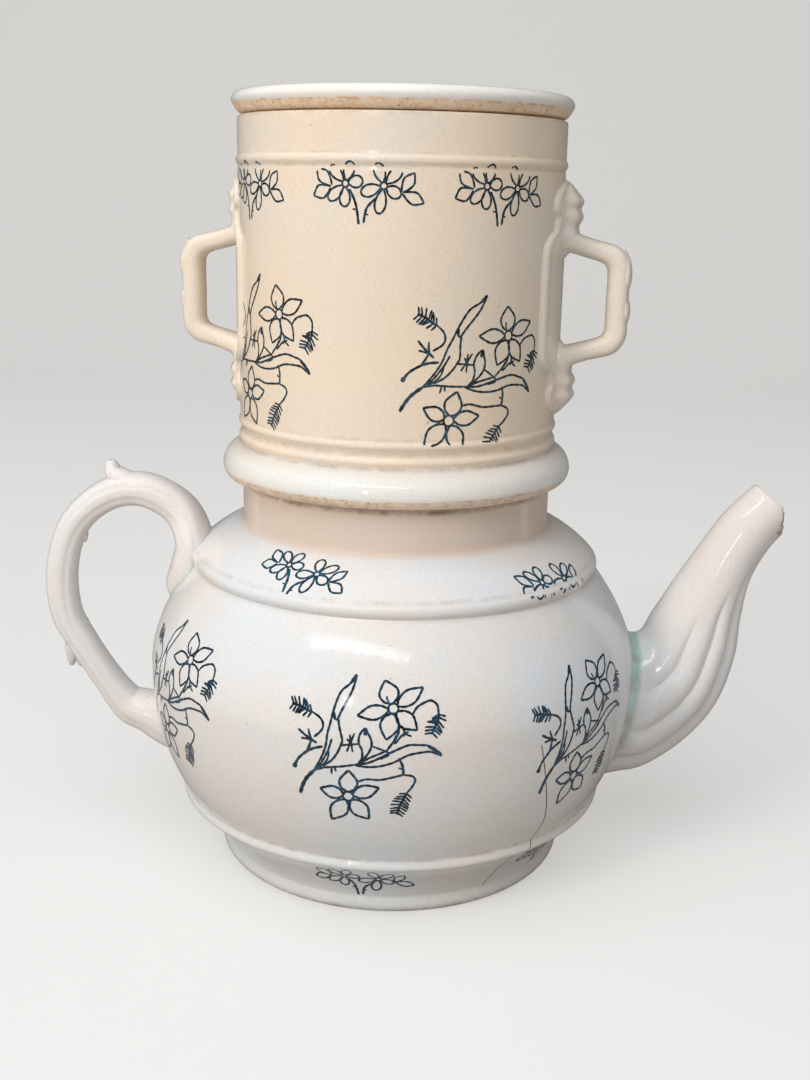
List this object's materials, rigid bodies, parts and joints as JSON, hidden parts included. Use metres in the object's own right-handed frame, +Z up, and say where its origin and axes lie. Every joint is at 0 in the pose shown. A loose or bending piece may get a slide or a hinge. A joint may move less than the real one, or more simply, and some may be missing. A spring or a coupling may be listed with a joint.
{
  "type": "drip coffee pot",
  "caption": "Glazed earthenware drip coffee pot: a spouted, footed pot under a cylindrical two-handled filter vessel with a lift-out water spreader and a sunk lid.",
  "frame": {"origin": "on the plane the foot stands on, under the middle of the whole object's bounding box", "axes": "+X towards the spout, +Y away from the side that faces the picture's camera, +Z up"},
  "size_m": [0.2838, 0.1854, 0.2849],
  "materials": {
    "pot_glaze": "gloss",
    "filter_glaze": "gloss"
  },
  "bodies": {
    "pot": {"pot_body": "pot_glaze", "pot_spout": "pot_glaze", "pot_handle": "pot_glaze"},
    "filter": {"filter_cylinder": "filter_glaze", "strainer_plate": "filter_glaze", "filter_handle_right": "filter_glaze", "filter_handle_left": "filter_glaze"},
    "spreader": {"water_spreader": "filter_glaze", "spreader_knob": "filter_glaze"},
    "lid": {"lid": "filter_glaze", "lid_knob": "filter_glaze"}
  },
  "joints": [
    {"name": "filter_lift", "type": "slide", "parent": "pot", "child": "filter", "axis": [0, 0, 1], "range_m": [0, 0.06]},
    {"name": "spreader_lift", "type": "slide", "parent": "filter", "child": "spreader", "axis": [0, 0, 1], "range_m": [0, 0.045]},
    {"name": "lid_lift", "type": "slide", "parent": "spreader", "child": "lid", "axis": [0, 0, 1], "range_m": [0, 0.04]}
  ]
}
